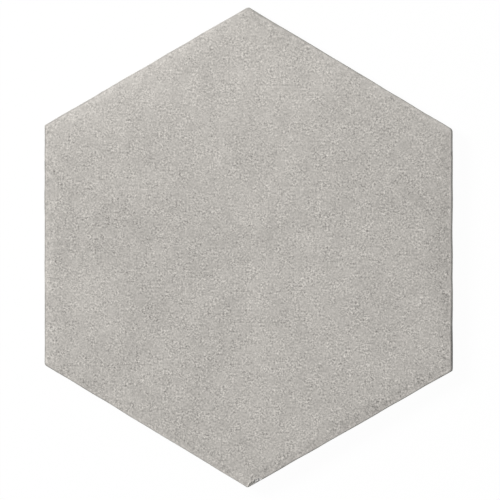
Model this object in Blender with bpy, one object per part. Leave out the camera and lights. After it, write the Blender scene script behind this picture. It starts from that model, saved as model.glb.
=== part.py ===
"""A hexagonal floor tile of pressed and fired porcelain, lying face up on its keyed back."""

import math

import bmesh
import bpy
from mathutils import Matrix

# The plan is a regular hexagon with two of its corners on the Y axis
ACROSS_FLATS = 0.216
THICKNESS = 0.009
CORNER_RADIUS = 0.0012
# The corner radius grows by this share of the inset, so that the cushion rolls round each corner
CORNER_EASE_SHARE = 0.8

# The wearing face is flat, then falls in a shallow cushion to a small rounded arris
CUSHION_WIDTH = 0.0085
CUSHION_DROP = 0.0006
ARRIS_RADIUS = 0.0005

# The sides are upright below the arris, then lean in to a chamfer at the back
LAND_HEIGHT = 0.0024
DRAFT_INSET = 0.001
BACK_CHAMFER = 0.0005

# The back is keyed with hexagonal cells, sunk between ribs inside a plain border
CELL_PITCH = 0.0205
RIB_WIDTH = 0.003
CELL_DEPTH = 0.0008
CELL_DRAFT = 0.0004
LEAST_BORDER = 0.007
CUT_OVERRUN = 0.0005

# Facets round each corner, round the arris and across the cushion
CORNER_STEPS = 4
ARRIS_STEPS = 4
CUSHION_STEPS = 5

SIXTH_TURN = math.pi / 3
PORCELAIN_COLOUR = (0.48, 0.46, 0.43, 1)
PORCELAIN_ROUGHNESS = 0.6
SMOOTH_ANGLE = math.radians(30)


def new_collection(name):
    collection = bpy.data.collections.new(name)
    bpy.context.scene.collection.children.link(collection)
    return collection


def new_object(name, shape, collection):
    """Turn the bmesh into an object in the collection."""
    mesh = bpy.data.meshes.new(name)
    shape.to_mesh(mesh)
    shape.free()
    made = bpy.data.objects.new(name, mesh)
    collection.objects.link(made)
    return made


def edge_section():
    """The tile's edge as (inset, height) points, from the back up to the rim of the flat field."""
    cushion_slope = math.atan(2 * CUSHION_DROP / CUSHION_WIDTH)
    arris_turn = math.pi / 2 - cushion_slope
    land_top = THICKNESS - CUSHION_DROP - ARRIS_RADIUS * math.sin(arris_turn)
    points = [
        (DRAFT_INSET + BACK_CHAMFER, 0),
        (DRAFT_INSET, BACK_CHAMFER),
        (0, land_top - LAND_HEIGHT),
    ]
    for step in range(ARRIS_STEPS + 1):
        turn = arris_turn * step / ARRIS_STEPS
        inset = ARRIS_RADIUS * (1 - math.cos(turn))
        points.append((inset, land_top + ARRIS_RADIUS * math.sin(turn)))
    cushion_start = points[-1][0]
    for step in range(1, CUSHION_STEPS + 1):
        share = step / CUSHION_STEPS
        drop = CUSHION_DROP * (1 - share) ** 2
        points.append((cushion_start + CUSHION_WIDTH * share, THICKNESS - drop))
    return points


def hexagon_ring(shape, inset, height):
    """A closed ring of edges: the hexagon moved in by the inset, with its corners rounded."""
    radius = CORNER_RADIUS + CORNER_EASE_SHARE * inset
    reach = (ACROSS_FLATS / 2 - inset - radius) / math.cos(SIXTH_TURN / 2)
    corners = []
    for corner in range(6):
        facing = math.pi / 2 + corner * SIXTH_TURN
        for step in range(CORNER_STEPS + 1):
            angle = facing + SIXTH_TURN * (step / CORNER_STEPS - 1 / 2)
            x = reach * math.cos(facing) + radius * math.cos(angle)
            y = reach * math.sin(facing) + radius * math.sin(angle)
            corners.append(shape.verts.new((x, y, height)))
    return [shape.edges.new(pair) for pair in zip(corners, corners[1:] + corners[:1])]


def pressed_body():
    """The tile before its back is keyed: rings of the hexagon, lofted along the edge's section."""
    shape = bmesh.new()
    rings = [hexagon_ring(shape, inset, height) for inset, height in edge_section()]
    for lower, upper in zip(rings, rings[1:]):
        bmesh.ops.bridge_loops(shape, edges=lower + upper)
    bmesh.ops.holes_fill(shape, edges=rings[0] + rings[-1])
    bmesh.ops.recalc_face_normals(shape, faces=shape.faces)
    return shape


def cell_centres():
    """Centres of the whole cells that fit inside the border, in rings round the middle one."""
    column_step = CELL_PITCH * math.cos(SIXTH_TURN / 2)
    cell_reach = (CELL_PITCH - RIB_WIDTH) / math.sqrt(3)
    field = ACROSS_FLATS / 2 - DRAFT_INSET - BACK_CHAMFER - LEAST_BORDER
    rings = math.floor((field - cell_reach) / column_step)
    for column in range(-rings, rings + 1):
        for row in range(max(-rings, -rings - column), min(rings, rings - column) + 1):
            yield column * column_step, (row + column / 2) * CELL_PITCH


def key_cutter():
    """Six-sided plugs that sink the cells, narrower at the cell's floor than at its mouth."""
    shape = bmesh.new()
    mouth = (CELL_PITCH - RIB_WIDTH) / math.sqrt(3)
    lean = CELL_DRAFT / CELL_DEPTH
    turned = Matrix.Rotation(SIXTH_TURN / 2, 4, "Z")
    for x, y in cell_centres():
        place = Matrix.Translation((x, y, (CELL_DEPTH - CUT_OVERRUN) / 2))
        bmesh.ops.create_cone(
            shape,
            cap_ends=True,
            segments=6,
            radius1=mouth + lean * CUT_OVERRUN,
            radius2=mouth - CELL_DRAFT,
            depth=CELL_DEPTH + CUT_OVERRUN,
            matrix=place @ turned,
        )
    return shape


def porcelain():
    material = bpy.data.materials.new("porcelain")
    material.use_nodes = True
    finish = material.node_tree.nodes["Principled BSDF"]
    finish.inputs["Base Color"].default_value = PORCELAIN_COLOUR
    finish.inputs["Roughness"].default_value = PORCELAIN_ROUGHNESS
    finish.inputs["Metallic"].default_value = 0
    return material


def hexagon_tile(parts, cutters):
    tile = new_object("hexagon_tile", pressed_body(), parts)
    cells = new_object("key_cells", key_cutter(), cutters)
    cells.hide_render = True
    cells.display_type = "WIRE"
    keyed = tile.modifiers.new("Keyed back", "BOOLEAN")
    keyed.object = cells
    keyed.operation = "DIFFERENCE"
    keyed.solver = "EXACT"
    tile.data.materials.append(porcelain())
    tile.data.shade_smooth()
    tile.data.set_sharp_from_angle(angle=SMOOTH_ANGLE)


for old in list(bpy.data.objects):
    bpy.data.objects.remove(old)
hexagon_tile(new_collection("Hexagon floor tile"), new_collection("Cutters"))
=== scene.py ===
import math

import bmesh
import bpy
from mathutils import Matrix, Vector, noise


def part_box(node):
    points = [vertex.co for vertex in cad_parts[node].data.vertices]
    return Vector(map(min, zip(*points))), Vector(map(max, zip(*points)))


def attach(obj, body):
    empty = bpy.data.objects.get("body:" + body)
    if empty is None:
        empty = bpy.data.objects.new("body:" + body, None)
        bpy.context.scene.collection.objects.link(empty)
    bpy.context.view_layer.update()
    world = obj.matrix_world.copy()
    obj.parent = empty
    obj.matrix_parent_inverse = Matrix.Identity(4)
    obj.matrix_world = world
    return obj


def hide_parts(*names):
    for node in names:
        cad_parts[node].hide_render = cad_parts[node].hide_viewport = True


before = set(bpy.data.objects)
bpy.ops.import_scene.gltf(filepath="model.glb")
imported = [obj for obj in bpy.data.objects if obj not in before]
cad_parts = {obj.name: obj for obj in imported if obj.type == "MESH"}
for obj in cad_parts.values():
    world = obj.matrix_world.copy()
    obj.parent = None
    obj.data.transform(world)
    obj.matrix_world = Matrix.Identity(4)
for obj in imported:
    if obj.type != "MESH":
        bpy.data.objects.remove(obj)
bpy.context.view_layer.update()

# The tile: face, edge and sides
# One piece of porcelain, pressed flat in a six-sided steel die and fired. The face rolls down in a
# shallow cushion to a small arris, and the sides lean in from their upright land to the back.
tile_low, tile_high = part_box("hexagon_tile")
across_flats = tile_high.x - tile_low.x
face_height = tile_high.z
# From the corner at +Y, anticlockwise: some came out of the die sharper than others
corner_radii = (0.0021, 0.0012, 0.0020, 0.0012, 0.0012, 0.0026)
corner_ease_share = 0.8
cushion_width = 0.0085
cushion_drop = 0.0006
arris_radius = 0.0005
land_height = 0.0024
draft_inset = 0.001
back_chamfer = 0.0005
steps_per_side = 104
steps_per_half_corner = 6
side_steps = 5
arris_steps = 9
cushion_steps = 14
sixth_turn = math.pi / 3
# The edge wanders inside its true outline, in slow waves with a quick ripple on them
wander_most = 0.00024
wander_middle = 0.5
slow_wave, slow_share = 0.016, 1.2
quick_wave, quick_share = 0.0022, 0.16
# The fired face dips below its highest plane, in a slow warp with a fine ripple on it
warp_wave, warp_depth = 0.07, 0.00004
ripple_wave, ripple_depth = 0.009, 0.000006


def edge_section():
    """The tile's edge as (inset, height) points, from the back up to the rim of the flat field."""
    cushion_slope = math.atan(2 * cushion_drop / cushion_width)
    arris_turn = math.pi / 2 - cushion_slope
    land_top = face_height - cushion_drop - arris_radius * math.sin(arris_turn)
    corners = [
        (draft_inset + back_chamfer, 0),
        (draft_inset, back_chamfer),
        (0, land_top - land_height),
        (0, land_top),
    ]
    points = [corners[0]]
    for start, end in zip(corners, corners[1:]):
        for step in range(1, side_steps + 1):
            share = step / side_steps
            points.append(tuple(a + (b - a) * share for a, b in zip(start, end)))
    for step in range(1, arris_steps + 1):
        turn = arris_turn * step / arris_steps
        inset = arris_radius * (1 - math.cos(turn))
        points.append((inset, land_top + arris_radius * math.sin(turn)))
    cushion_start = points[-1][0]
    for step in range(1, cushion_steps + 1):
        share = step / cushion_steps
        drop = cushion_drop * (1 - share) ** 2
        points.append((cushion_start + cushion_width * share, face_height - drop))
    return points


def towards(angle):
    """The level direction at this angle from the X axis."""
    return Vector((math.cos(angle), math.sin(angle), 0))


def corner_arc(inset, corner):
    """The centre, radius and facing angle of a corner of the hexagon moved in by the inset."""
    radius = corner_radii[corner % 6] + corner_ease_share * inset
    facing = math.pi / 2 + corner * sixth_turn
    reach = (across_flats / 2 - inset - radius) / math.cos(sixth_turn / 2)
    return reach * towards(facing), radius, facing


def outline_point(inset, corner, place):
    """A point of the hexagon moved in by the inset, and the way out from it. The place counts the
    steps from the corner's middle to the next corner's, and need not be whole."""
    centre, radius, facing = corner_arc(inset, corner)
    next_centre, next_radius, next_facing = corner_arc(inset, corner + 1)
    to_next = steps_per_side - place
    way_out = towards(facing + sixth_turn / 2)
    if place <= steps_per_half_corner:
        way_out = towards(facing + sixth_turn / 2 * place / steps_per_half_corner)
        point = centre + radius * way_out
    elif to_next <= steps_per_half_corner:
        way_out = towards(next_facing - sixth_turn / 2 * to_next / steps_per_half_corner)
        point = next_centre + next_radius * way_out
    else:
        share = (place - steps_per_half_corner) / (steps_per_side - 2 * steps_per_half_corner)
        point = (centre + radius * way_out).lerp(next_centre + next_radius * way_out, share)
    return point, way_out


def edge_wander(point):
    """How far the pressed edge lies inside the true outline here."""
    slow = slow_share * noise.noise(point / slow_wave)
    quick = quick_share * noise.noise(point / quick_wave)
    return wander_most * min(1, max(0, wander_middle + slow + quick))


def face_sag(point):
    """How far the fired face dips below its highest plane here."""
    warp = warp_depth * (1 + noise.noise(point / warp_wave))
    ripple = ripple_depth * (1 + noise.noise(point / ripple_wave))
    return warp + ripple


def edge_ring(shape, inset_layer, inset, height):
    """One ring of points round the tile, moved in by the edge's wander."""
    ring = []
    for corner in range(6):
        for place in range(steps_per_side):
            point, way_out = outline_point(inset, corner, place)
            point -= way_out * edge_wander(point)
            point.z = height - (face_sag(point) if height > face_height - cushion_drop else 0)
            vertex = shape.verts.new(point)
            vertex[inset_layer] = inset
            ring.append(vertex)
    return ring


def bridge_rings(shape, lower, upper, slot):
    """A band of faces between two rings with as many points, in this slot's material."""
    for index in range(len(lower)):
        ends = (lower[index - 1], lower[index], upper[index], upper[index - 1])
        shape.faces.new(ends).material_index = slot


def field_place(inset, corner, share):
    """The place on the flat field's rim at this share of the way from corner to corner."""
    centre, radius, _ = corner_arc(inset, corner)
    next_centre, next_radius, _ = corner_arc(inset, corner + 1)
    first = radius * sixth_turn / 2
    straight = (next_centre - centre).length
    last = next_radius * sixth_turn / 2
    run = share * (first + straight + last)
    left = (1 - share) * (first + straight + last)
    if run < first:
        return steps_per_half_corner * run / first
    if left < last:
        return steps_per_side - steps_per_half_corner * left / last
    straight_steps = steps_per_side - 2 * steps_per_half_corner
    return steps_per_half_corner + straight_steps * (run - first) / straight


def flat_field(shape, inset_layer, rim, inset):
    """Rings of the field, each with one step fewer to a side than the ring outside it."""
    outer = rim
    for steps in range(steps_per_side - 1, 0, -1):
        inner = []
        for corner in range(6):
            for step in range(steps):
                place = field_place(inset, corner, step / steps)
                point, _ = outline_point(inset, corner, place)
                point *= steps / steps_per_side
                point.z = face_height - face_sag(point)
                vertex = shape.verts.new(point)
                vertex[inset_layer] = inset
                inner.append(vertex)
        for corner in range(6):
            for step in range(steps + 1):
                far = corner * (steps + 1) + step
                near = corner * steps + step
                far_next, near_next = (far + 1) % len(outer), (near + 1) % len(inner)
                near %= len(inner)
                shape.faces.new((outer[far], outer[far_next], inner[near]))
                if step < steps:
                    shape.faces.new((inner[near], outer[far_next], inner[near_next]))
        outer = inner
    middle = shape.verts.new((0, 0, face_height - face_sag(Vector((0, 0, 0)))))
    middle[inset_layer] = inset
    for index in range(6):
        shape.faces.new((outer[index - 1], outer[index], middle))


face_slot, side_slot, back_slot = 0, 1, 2
body = bmesh.new()
inset_layer = body.verts.layers.float.new("inset")
section = edge_section()
rings = []
for inset, height in section:
    rings.append(edge_ring(body, inset_layer, inset, height))
# Chamfer, leaning side and land lie below the arris, and belong to the sides
side_rings = 3 * side_steps
for index, (lower, upper) in enumerate(zip(rings, rings[1:])):
    bridge_rings(body, lower, upper, side_slot if index < side_rings else face_slot)
flat_field(body, inset_layer, rings[-1], section[-1][0])

# The tile: keyed back
# The die's lower punch sinks hexagonal cells between ribs, inside a plain border, so that the
# adhesive grips. Each cell's wall leans, and its edges are eased so that the pressing comes free.
cell_pitch = 0.0205
rib_width = 0.003
cell_depth = 0.0008
cell_draft = 0.0004
least_border = 0.007
rib_ease = 0.00025
floor_ease = 0.0003
cell_corner_radius = 0.0012
ease_steps = 3
weld_distance = 0.00001


def cell_section():
    """The cell's wall as (reach, height) points, from the edge of the rib to the cell's floor."""
    mouth = (cell_pitch - rib_width) / 2
    points = []
    for step in range(ease_steps + 1):
        turn = math.pi / 2 * step / ease_steps
        points.append((mouth + rib_ease * (1 - math.sin(turn)), rib_ease * (1 - math.cos(turn))))
    floor_reach = mouth - cell_draft * math.cos(sixth_turn / 2)
    for step in range(ease_steps + 1):
        turn = math.pi / 2 * step / ease_steps
        rise = cell_depth - floor_ease * (1 - math.sin(turn))
        points.append((floor_reach - floor_ease * (1 - math.cos(turn)), rise))
    return points


def cell_ring(shape, centre, reach, height, radius):
    """A hexagon with corners on its X axis: three points round each corner, one in each side."""
    ring = []
    tip = (reach - radius) / math.cos(sixth_turn / 2)
    for corner in range(6):
        facing = corner * sixth_turn
        for turn in (-1, 0, 1):
            ring.append(towards(facing) * tip + towards(facing + turn * sixth_turn / 2) * radius)
        ring.append(towards(facing + sixth_turn / 2) * reach)
    return [shape.verts.new(centre + point + Vector((0, 0, height))) for point in ring]


def shared_ring(shape, centre):
    """The middle of the ribs round a cell, on points that the next cells have too."""
    reach = cell_pitch / 2
    tip = reach / math.cos(sixth_turn / 2)
    ring = []
    for corner in range(6):
        facing = corner * sixth_turn
        here = towards(facing) * tip
        before = (towards(facing - sixth_turn) * tip - here).normalized()
        after = (towards(facing + sixth_turn) * tip - here).normalized()
        ring += [here + before * cell_corner_radius, here, here + after * cell_corner_radius]
        ring.append(towards(facing + sixth_turn / 2) * reach)
    return [shape.verts.new(centre + point) for point in ring]


def cell_centres():
    """Centres of the whole cells that fit inside the border, in rings round the middle one."""
    column_step = cell_pitch * math.cos(sixth_turn / 2)
    cell_reach = (cell_pitch - rib_width) / math.sqrt(3)
    room = across_flats / 2 - draft_inset - back_chamfer - least_border
    count = math.floor((room - cell_reach) / column_step)
    for column in range(-count, count + 1):
        for row in range(max(-count, -count - column), min(count, count - column) + 1):
            yield Vector((column * column_step, (row + column / 2) * cell_pitch, 0))


back_points = []
for centre in cell_centres():
    outer = shared_ring(body, centre)
    back_points += outer
    for reach, height in cell_section():
        inner = cell_ring(body, centre, reach, height, cell_corner_radius)
        bridge_rings(body, inner, outer, back_slot)
        outer = inner
    middle = body.verts.new(centre + Vector((0, 0, cell_depth)))
    for index in range(len(outer)):
        body.faces.new((outer[index - 1], outer[index], middle)).material_index = back_slot
bmesh.ops.remove_doubles(body, verts=back_points, dist=weld_distance)
open_edges = [edge for edge in body.edges if len(edge.link_faces) == 1]
border = bmesh.ops.triangle_fill(body, edges=open_edges, use_beauty=True, use_dissolve=False)
for made in border["geom"]:
    if isinstance(made, bmesh.types.BMFace):
        made.material_index = back_slot
bmesh.ops.recalc_face_normals(body, faces=body.faces)

# The tile: chipped arris
# A knock has flaked the arris beside the corner that faces -Y. The break is a long shallow shell
# with three smaller bites at its far end, rough and bare inside, and bruised white along its rim.
chip_corner = 3
# Each shell: its place along the side, how far it reaches into the face, its half length, its
# drop, how white its break is and how bruised its rim
chip_shells = (
    (0.0034, 0.0016, 0.0034, 0.0008, 0.15, 1.0),
    (0.0058, 0.0019, 0.0016, 0.0006, 0.85, 0.3),
    (0.0063, 0.0007, 0.0018, 0.0034, 0.95, 0.3),
    (0.0077, 0.0014, 0.0012, 0.0005, 0.85, 0.3),
)
break_wave = 0.0007
break_roughness = 0.00028
bruise_width = 0.00045
# The mesh is cut finer within this distance of a point this far along the side
fine_radius = 0.007
fine_along = fine_radius * 2 / 3
fine_cuts = 6


def shell_sphere(into, half_length, drop):
    """How far out, how far up and how large the sphere is whose cut leaves this shell."""
    beyond = (half_length**2 - into**2) / (2 * into)
    across = (into + beyond) ** 2
    above = (across - beyond**2 - drop**2) / (2 * drop)
    return beyond, above, math.sqrt(across + above**2)


corner_angle = math.pi / 2 + chip_corner * sixth_turn
corner_point = towards(corner_angle) * across_flats / 2 / math.cos(sixth_turn / 2)
way_out = towards(corner_angle + sixth_turn / 2)
side_way = Vector((-way_out.y, way_out.x, 0))
arris_height = face_height - cushion_drop

near_chip = corner_point + side_way * fine_along + Vector((0, 0, arris_height))
chip_edges = set()
for face in body.faces:
    middle = face.calc_center_median()
    if (middle - near_chip).length < fine_radius and middle.z > face_height / 2:
        chip_edges.update(face.edges)
bmesh.ops.subdivide_edges(body, edges=list(chip_edges), cuts=fine_cuts, use_grid_fill=True)
broken = body.verts.layers.float.new("broken")
bruised = body.verts.layers.float.new("bruised")
for along, into, half_length, drop, white, rim_bruise in chip_shells:
    beyond, above, radius = shell_sphere(into, half_length, drop)
    centre = corner_point + side_way * along + way_out * beyond
    centre.z = arris_height + above
    for vertex in body.verts:
        off = vertex.co - centre
        rough = radius + break_roughness * noise.noise(vertex.co / break_wave)
        if vertex.co.z < face_height / 2 or off.length > rough + bruise_width:
            continue
        if off.length < rough:
            vertex.co = centre + off.normalized() * rough
            vertex[broken] = white
        else:
            bruise = rim_bruise * (1 - (off.length - rough) / bruise_width)
            vertex[bruised] = max(vertex[bruised], bruise)
for face in body.faces:
    if all(vertex[broken] for vertex in face.verts):
        face.material_index = side_slot

# The tile: face material
# Matt porcelain, smoothed by the polished punch: warm light grey, with a close salt and pepper
# grain that is stronger in some places than in others, broad soft clouds, and painted light and
# shade along the edges.
face_colour = (0.4815, 0.459, 0.428)
face_span = 0.9
face_roughness, face_specular = 0.6, 0.3
relief_depth, face_relief = 0.00005, 0.5
# The specks of the grain and the finer dust between them: size and weight
speck_size, speck_weight = 0.0010, 0.735
dust_size, dust_weight = 0.0005, 0.29
# The grain is stronger in patches, from the least strength up by the gain
patch_size = 0.005
least_strength, strength_gain = 0.5, 0.9
# It is fainter towards the side that faces this way, near the edges, and most where both meet
faint_azimuth = math.radians(117)
faint_side, faint_edge, faint_side_edge = 0.06, 0.09, 0.13
# Patches fade in as their noise goes from the first of these to the second
fade_from, fade_to = -0.25, 0.20
# Softer noises over the grain: size, detail and weight
face_mottles = (
    (0.0028, 1, 0.16),
    (0.008, 1, 0.10),
    (0.018, 2, 0.12),
    (0.045, 2, 0.08),
)
# Bands along the edge: the insets where each begins and where it is full
edge_band = (0.0085, 0.0030)
highlight_band = (0.0020, 0.0013)
arris_band = (0.0009, 0.0004)
# A painted highlight on the rim just inside the arris
rim_painted_highlight = 0.040
bruise_lighter = 0.42
# The arris carries painted shade, a little all round and more on the side that faces this way, and
# its tone is uneven
arris_painted_shade = 0.03
arris_shade_lean = 0.12
arris_shade_azimuth = math.radians(168)
arris_mottle_size, arris_mottle = 0.004, 0.4
# Painted shade on the arris where the patch below lies
arris_patch_shade = 0.26
# A stretch of painted shade on the side that faces +X: x, y, width and height
painted_shade_patch = (0.108, -0.050, 0.040, 0.064)
# Broad clouds, partly tone and partly painted light and shade: x, y, width and height in metres,
# and how much lighter they are. The face is painted lighter along the top and the upper left, and
# darker left and right of the middle, with painted shade down both sides. The finer clouds are
# left to the noises.
clouds_and_painted_light = (
    (0.00, 0.09, 0.18, 0.08, 0.05),
    (-0.06, 0.08, 0.10, 0.06, 0.04),
    (-0.06, 0.01, 0.11, 0.07, -0.04),
    (-0.10, -0.01, 0.03, 0.14, -0.04),
    (0.02, -0.03, 0.03, 0.08, -0.03),
    (0.06, -0.02, 0.06, 0.11, -0.03),
    (0.10, 0.01, 0.02, 0.12, -0.02),
)


def shader_node(tree, kind, inputs=None, **settings):
    """Add a node with these settings, and link or set its inputs."""
    made = tree.nodes.new(kind)
    for name, value in settings.items():
        setattr(made, name, value)
    for name, value in (inputs or {}).items():
        if isinstance(value, bpy.types.NodeSocket):
            tree.links.new(value, made.inputs[name])
        else:
            made.inputs[name].default_value = value
    return made


def calculate(tree, operation, *terms):
    """The result of this sum on numbers or sockets."""
    inputs = dict(enumerate(terms))
    return shader_node(tree, "ShaderNodeMath", inputs, operation=operation).outputs[0]


def calculate_vector(tree, operation, *terms):
    """The outputs of this sum on vectors."""
    inputs = dict(enumerate(terms))
    return shader_node(tree, "ShaderNodeVectorMath", inputs, operation=operation).outputs


def add_up(tree, *terms):
    """The sum of (socket, weight) pairs."""
    total = 0.0
    for socket, weight in terms:
        total = calculate(tree, "MULTIPLY_ADD", socket, weight, total)
    return total


def fade(tree, value, start, end):
    """0 before the start and 1 past the end, with a soft step between."""
    inputs = {"Value": value, "From Min": start, "From Max": end}
    made = shader_node(tree, "ShaderNodeMapRange", inputs, interpolation_type="SMOOTHSTEP")
    return made.outputs["Result"]


def speckle(tree, coords, size, detail):
    """Noise of this grain size, about a middle of 0."""
    inputs = {"Vector": coords, "Scale": 1 / size, "Detail": detail}
    made = shader_node(tree, "ShaderNodeTexNoise", inputs)
    return calculate(tree, "SUBTRACT", made.outputs["Fac"], 0.5)


def mottling(tree, coords, mottles):
    """Noises of these sizes, details and weights, as (socket, weight) pairs."""
    return [(speckle(tree, coords, size, detail), weight) for size, detail, weight in mottles]


def lean_towards(tree, coords, angle):
    """How far a point lies this way from the tile's middle: 1 at the side that faces it."""
    way = towards(angle) * 2 / across_flats
    return calculate_vector(tree, "DOT_PRODUCT", coords, way)["Value"]


def soft_patch(tree, coords, x, y, width, height):
    """1 in the middle of an oval patch of the face, falling softly to 0 at its edge."""
    offset = calculate_vector(tree, "SUBTRACT", coords, (x, y, 0))["Vector"]
    scaled = calculate_vector(tree, "MULTIPLY", offset, (2 / width, 2 / height, 0))["Vector"]
    length = calculate_vector(tree, "LENGTH", scaled)["Value"]
    return fade(tree, length, 1, 0)


def blended(tree, share, first, second):
    """The first colour, with this share of the second over it."""
    inputs = {0: share, 6: first, 7: second}
    return shader_node(tree, "ShaderNodeMix", inputs, data_type="RGBA").outputs[2]


def toned(tree, colour, span, tone):
    """The colour, made darker or lighter by up to the span as the tone goes from -0.5 to 0.5."""
    darkest = [part * (1 - span) for part in colour] + [1]
    lightest = [part * (1 + span) for part in colour] + [1]
    return blended(tree, calculate(tree, "ADD", tone, 0.5), darkest, lightest)


def bumped(tree, relief, depth, strength):
    """The normal of a surface with this relief."""
    inputs = {"Height": relief, "Distance": depth, "Strength": strength}
    return shader_node(tree, "ShaderNodeBump", inputs).outputs["Normal"]


def vertex_value(tree, name):
    """The value of this name that the mesh keeps at its points."""
    return shader_node(tree, "ShaderNodeAttribute", attribute_name=name).outputs["Fac"]


def finish(name, roughness, specular):
    """A new material, its node tree, its object coordinates and its shader's inputs."""
    material = bpy.data.materials.new(name)
    material.use_nodes = True
    tree = material.node_tree
    inputs = tree.nodes["Principled BSDF"].inputs
    inputs["Roughness"].default_value = roughness
    inputs["Specular IOR Level"].default_value = specular
    coords = shader_node(tree, "ShaderNodeTexCoord").outputs["Object"]
    return material, tree, coords, inputs


face_finish, tree, coords, surface = finish("porcelain_face", face_roughness, face_specular)
inset = vertex_value(tree, "inset")
arris = fade(tree, inset, *arris_band)
# The band just inside the arris, which takes the painted highlight
rim = calculate(tree, "SUBTRACT", fade(tree, inset, *highlight_band), arris)
near_edge = fade(tree, inset, *edge_band)
to_side = lean_towards(tree, coords, faint_azimuth)
side_edge = calculate(tree, "MULTIPLY", near_edge, to_side)
spread = add_up(
    tree, (to_side, -faint_side), (near_edge, -faint_edge), (side_edge, -faint_side_edge)
)
strength = fade(tree, speckle(tree, coords, patch_size, 1), fade_from, fade_to)
strength = calculate(tree, "MULTIPLY_ADD", strength, strength_gain, least_strength)
strength = calculate(tree, "MULTIPLY", strength, calculate(tree, "ADD", spread, 1.0))
strength = calculate(tree, "MULTIPLY", strength, calculate(tree, "SUBTRACT", 1.0, arris))
grain = mottling(tree, coords, ((speck_size, 1, speck_weight), (dust_size, 1, dust_weight)))
grain = calculate(tree, "MULTIPLY", add_up(tree, *grain), strength)
# Painted shade on the arris, leaning to one side and deeper in one patch, and a painted highlight
# on the rim just inside it
arris_shade_leaning = calculate(tree, "MULTIPLY", arris, lean_towards(tree, coords, arris_shade_azimuth))
arris_patch_shading = calculate(tree, "MULTIPLY", arris, soft_patch(tree, coords, *painted_shade_patch))
arris_noise = calculate(tree, "MULTIPLY", arris, speckle(tree, coords, arris_mottle_size, 2))
terms = [(grain, 1.0)]
terms += mottling(tree, coords, face_mottles)
terms += [
    (arris, -arris_painted_shade),
    (arris_shade_leaning, -arris_shade_lean),
    (arris_patch_shading, -arris_patch_shade),
    (arris_noise, arris_mottle),
    (rim, rim_painted_highlight),
    (vertex_value(tree, "bruised"), bruise_lighter),
]
# Broad clouds of tone, with painted light and painted shade among them
for x, y, width, depth, lighter in clouds_and_painted_light:
    terms.append((soft_patch(tree, coords, x, y, width, depth), lighter))
tree.links.new(toned(tree, face_colour, face_span, add_up(tree, *terms)), surface["Base Color"])
tree.links.new(bumped(tree, grain, relief_depth, face_relief), surface["Normal"])

# The tile: side and back materials
# The sides are the same body, dry and a shade darker, with the faint upright scuffs of the die and
# painted shade by one corner. The back's ribs and border carry a patchy white wash that kept them
# off the kiln's rollers.
body_colour = (0.466, 0.454, 0.415)
body_span = 0.8
body_specular = 0.15
body_relief = 0.6
side_roughness = 0.85
# The grain and the softer noises over it: size, detail and weight
body_grain = (0.0008, 2, 0.5)
side_mottles = ((0.003, 2, 0.28), (0.020, 2, 0.26))
# The scuffs are a noise drawn out upright: its size, its weight and how much it is drawn out
scuff_size, scuff_weight = 0.0005, 0.15
scuff_stretch = 0.06
# How much painted shade darkens the side in that patch
side_patch_shade = 0.48
# The fresh break shows whiter clay, unevenly so
break_colour = (0.80, 0.785, 0.765, 1)
break_mottle_size, break_mottle = 0.0011, 2.4

side_finish, tree, coords, surface = finish("porcelain_side", side_roughness, body_specular)
stretched = calculate_vector(tree, "MULTIPLY", coords, (1, 1, scuff_stretch))["Vector"]
side_grain = mottling(tree, coords, (body_grain,))
terms = side_grain + mottling(tree, coords, side_mottles)
# The scuffs, and the patch of painted shade on the side
terms += [
    (speckle(tree, stretched, scuff_size, 2), scuff_weight),
    (soft_patch(tree, coords, *painted_shade_patch), -side_patch_shade),
]
aged = toned(tree, body_colour, body_span, add_up(tree, *terms))
uneven = speckle(tree, coords, break_mottle_size, 1)
uneven = calculate(tree, "MULTIPLY_ADD", uneven, break_mottle, 1.0)
fresh = calculate(tree, "MULTIPLY", vertex_value(tree, "broken"), uneven)
tree.links.new(blended(tree, fresh, aged, break_colour), surface["Base Color"])
tree.links.new(bumped(tree, side_grain[0][0], relief_depth, body_relief), surface["Normal"])

back_roughness = 0.9
back_mottles = ((0.010, 3, 0.15),)
# The wash was rolled on along Y: its streaks, drawn out that way, and the flecks between them
wash_colour = (0.66, 0.64, 0.60, 1)
wash_stretch = 0.12
wash_streaks = ((0.006, 4, 1.6),)
wash_flecks = ((0.0015, 3, 1.2),)
wash_relief = 0.5
back_relief_depth = 0.00008

back_finish, tree, coords, surface = finish("porcelain_back", back_roughness, body_specular)
back_grain = mottling(tree, coords, (body_grain,))
back_tone = add_up(tree, *back_grain, *mottling(tree, coords, back_mottles))
bare = toned(tree, body_colour, body_span, back_tone)
streaked = calculate_vector(tree, "MULTIPLY", coords, (1, wash_stretch, 1))["Vector"]
wash = mottling(tree, streaked, wash_streaks) + mottling(tree, coords, wash_flecks)
wash = fade(tree, add_up(tree, *wash), fade_from, fade_to)
height = shader_node(tree, "ShaderNodeSeparateXYZ", {0: coords}).outputs["Z"]
wash = calculate(tree, "MULTIPLY", wash, fade(tree, height, cell_depth / 2, 0))
relief = add_up(tree, (back_grain[0][0], 1.0), (wash, wash_relief))
tree.links.new(blended(tree, wash, bare, wash_colour), surface["Base Color"])
tree.links.new(bumped(tree, relief, back_relief_depth, body_relief), surface["Normal"])

# The finished tile
# Face, sides and back are one fired body, so they are one piece. It lies loose on its ribs and
# border, as nothing but adhesive and grout ever holds such a tile.
sharp_angle = math.radians(32)
mesh = bpy.data.meshes.new("hexagon_floor_tile")
for material in (face_finish, side_finish, back_finish):
    mesh.materials.append(material)
body.to_mesh(mesh)
body.free()
mesh.shade_smooth()
mesh.set_sharp_from_angle(angle=sharp_angle)
tile = bpy.data.objects.new("hexagon_floor_tile", mesh)
bpy.context.scene.collection.objects.link(tile)
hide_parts("hexagon_tile")
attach(tile, "root")

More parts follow.
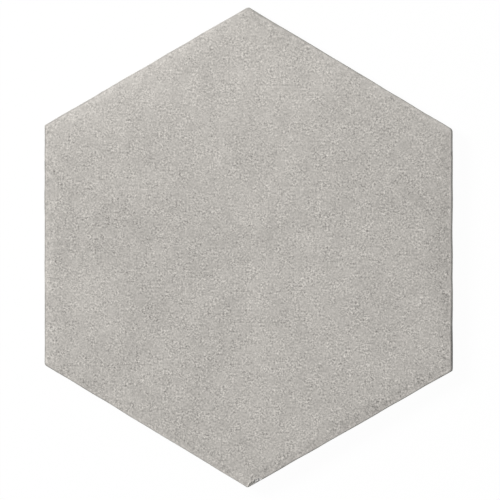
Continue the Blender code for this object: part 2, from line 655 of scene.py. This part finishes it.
# The floor
# A plain white sheet, laid flat just under the tile and reaching far past the picture. It glows
# almost at full white, and the little that it reflects keeps a soft shadow of the tile.
floor_half = 4.0
floor_drop = 0.0002
shadow_share = 0.028
floor_shape = bmesh.new()
bmesh.ops.create_grid(floor_shape, x_segments=1, y_segments=1, size=floor_half)
floor_mesh = bpy.data.meshes.new("studio_floor")
floor_shape.to_mesh(floor_mesh)
floor_shape.free()
floor = bpy.data.objects.new("studio_floor", floor_mesh)
floor.location.z = -floor_drop
floor.visible_diffuse = False
bpy.context.scene.collection.objects.link(floor)
floor_white = bpy.data.materials.new("studio_white")
floor_white.use_nodes = True
tree = floor_white.node_tree
tree.nodes.clear()
shade = shader_node(tree, "ShaderNodeBsdfDiffuse", {"Color": (shadow_share,) * 3 + (1,)})
glow = shader_node(tree, "ShaderNodeEmission", {"Strength": 1 - shadow_share})
white = shader_node(tree, "ShaderNodeAddShader", {0: shade.outputs[0], 1: glow.outputs[0]})
shader_node(tree, "ShaderNodeOutputMaterial", {"Surface": white.outputs[0]})
floor_mesh.materials.append(floor_white)

# The studio light
# One large soft lamp stands to the upper left. The pale room fills the shadows from all round, most
# of all from the white table below, and least from the right, where no light stands.
lamp_azimuth = math.radians(144)
lamp_height_angle = math.radians(38)
lamp_distance = 3.0
lamp_size = 1.2
lamp_level = 0.698
room_level = 0.325
table_level = 0.90
horizon_blur = 0.05
# The room is a little lighter this way, and darker to the right, from this share of the way on
room_lean = 0.10
room_azimuth = math.radians(90)
dark_side = 0.28
dark_from = 0.3
lamp = bpy.data.lights.new("soft_lamp", "AREA")
lamp.shape = "SQUARE"
lamp.size = lamp_size
# The energy at which a white level surface under this lamp shows the lamp's level
lamp.energy = lamp_level * math.pi**2 * lamp_distance**2 / math.sin(lamp_height_angle)
lamp_object = bpy.data.objects.new("soft_lamp", lamp)
lamp_way = Vector((
    math.cos(lamp_azimuth) * math.cos(lamp_height_angle),
    math.sin(lamp_azimuth) * math.cos(lamp_height_angle),
    math.sin(lamp_height_angle),
))
lamp_object.location = lamp_way * lamp_distance
lamp_object.rotation_euler = lamp_way.to_track_quat("Z", "Y").to_euler()
bpy.context.scene.collection.objects.link(lamp_object)

room = bpy.data.worlds.new("studio_room")
room.use_nodes = True
bpy.context.scene.world = room
tree = room.node_tree
tree.nodes.clear()
direction = shader_node(tree, "ShaderNodeTexCoord").outputs["Generated"]
rise = shader_node(tree, "ShaderNodeSeparateXYZ", {0: direction}).outputs["Z"]
below = fade(tree, rise, horizon_blur, -horizon_blur)
sideways = calculate_vector(tree, "DOT_PRODUCT", direction, towards(room_azimuth))["Value"]
to_right = calculate_vector(tree, "DOT_PRODUCT", direction, towards(0))["Value"]
unlit = fade(tree, to_right, dark_from, 1)
level = add_up(
    tree, (below, table_level - room_level), (sideways, room_lean), (unlit, -dark_side)
)
level = calculate(tree, "ADD", level, room_level)
# The camera sees plain white in place of the room, also in mirrors and through glass
path = shader_node(tree, "ShaderNodeLightPath").outputs
seen = calculate(tree, "MAXIMUM", path["Is Camera Ray"], path["Is Glossy Ray"])
seen = calculate(tree, "MAXIMUM", seen, path["Is Transmission Ray"])
plain_white = (1, 1, 1, 1)
fill_inputs = {"Color": plain_white, "Strength": level}
fill = shader_node(tree, "ShaderNodeBackground", fill_inputs).outputs[0]
backdrop = shader_node(tree, "ShaderNodeBackground", {"Color": plain_white}).outputs[0]
sky = shader_node(tree, "ShaderNodeMixShader", {0: seen, 1: fill, 2: backdrop}).outputs[0]
shader_node(tree, "ShaderNodeOutputWorld", {"Surface": sky})

# The camera
# It looks down on the tile from far off, through a long lens that keeps its sides parallel. It
# stands a little to the right of the tile's middle, and a hair above it.
lens = 900
lean_right = math.radians(12.5)
lean_up = math.radians(3.4)
# In pixels: the picture's width, the tile's height in it, and the tile's place off its middle
picture_width = 500
tile_pixels = 482.1
left_of_middle, above_middle = 2.75, 2.25
camera_data = bpy.data.cameras.new("photo_camera")
camera_data.lens = lens
corner_to_corner = across_flats / math.cos(sixth_turn / 2)
metres_per_pixel = corner_to_corner / tile_pixels
camera_distance = metres_per_pixel * picture_width * lens / camera_data.sensor_width
camera_data.clip_end = 2 * camera_distance
camera = bpy.data.objects.new("photo_camera", camera_data)
back = Vector((math.sin(lean_right), math.sin(lean_up), 0))
back.z = math.sqrt(1 - back.length_squared)
right = Vector((0, 1, 0)).cross(back).normalized()
up = back.cross(right)
aim = Vector((0, 0, arris_height)) + metres_per_pixel * (left_of_middle * right - above_middle * up)
turned = Matrix((right, up, back)).transposed().to_4x4()
camera.matrix_world = Matrix.Translation(aim + back * camera_distance) @ turned
bpy.context.scene.collection.objects.link(camera)
bpy.context.scene.camera = camera
bpy.context.scene.view_settings.view_transform = "Standard"
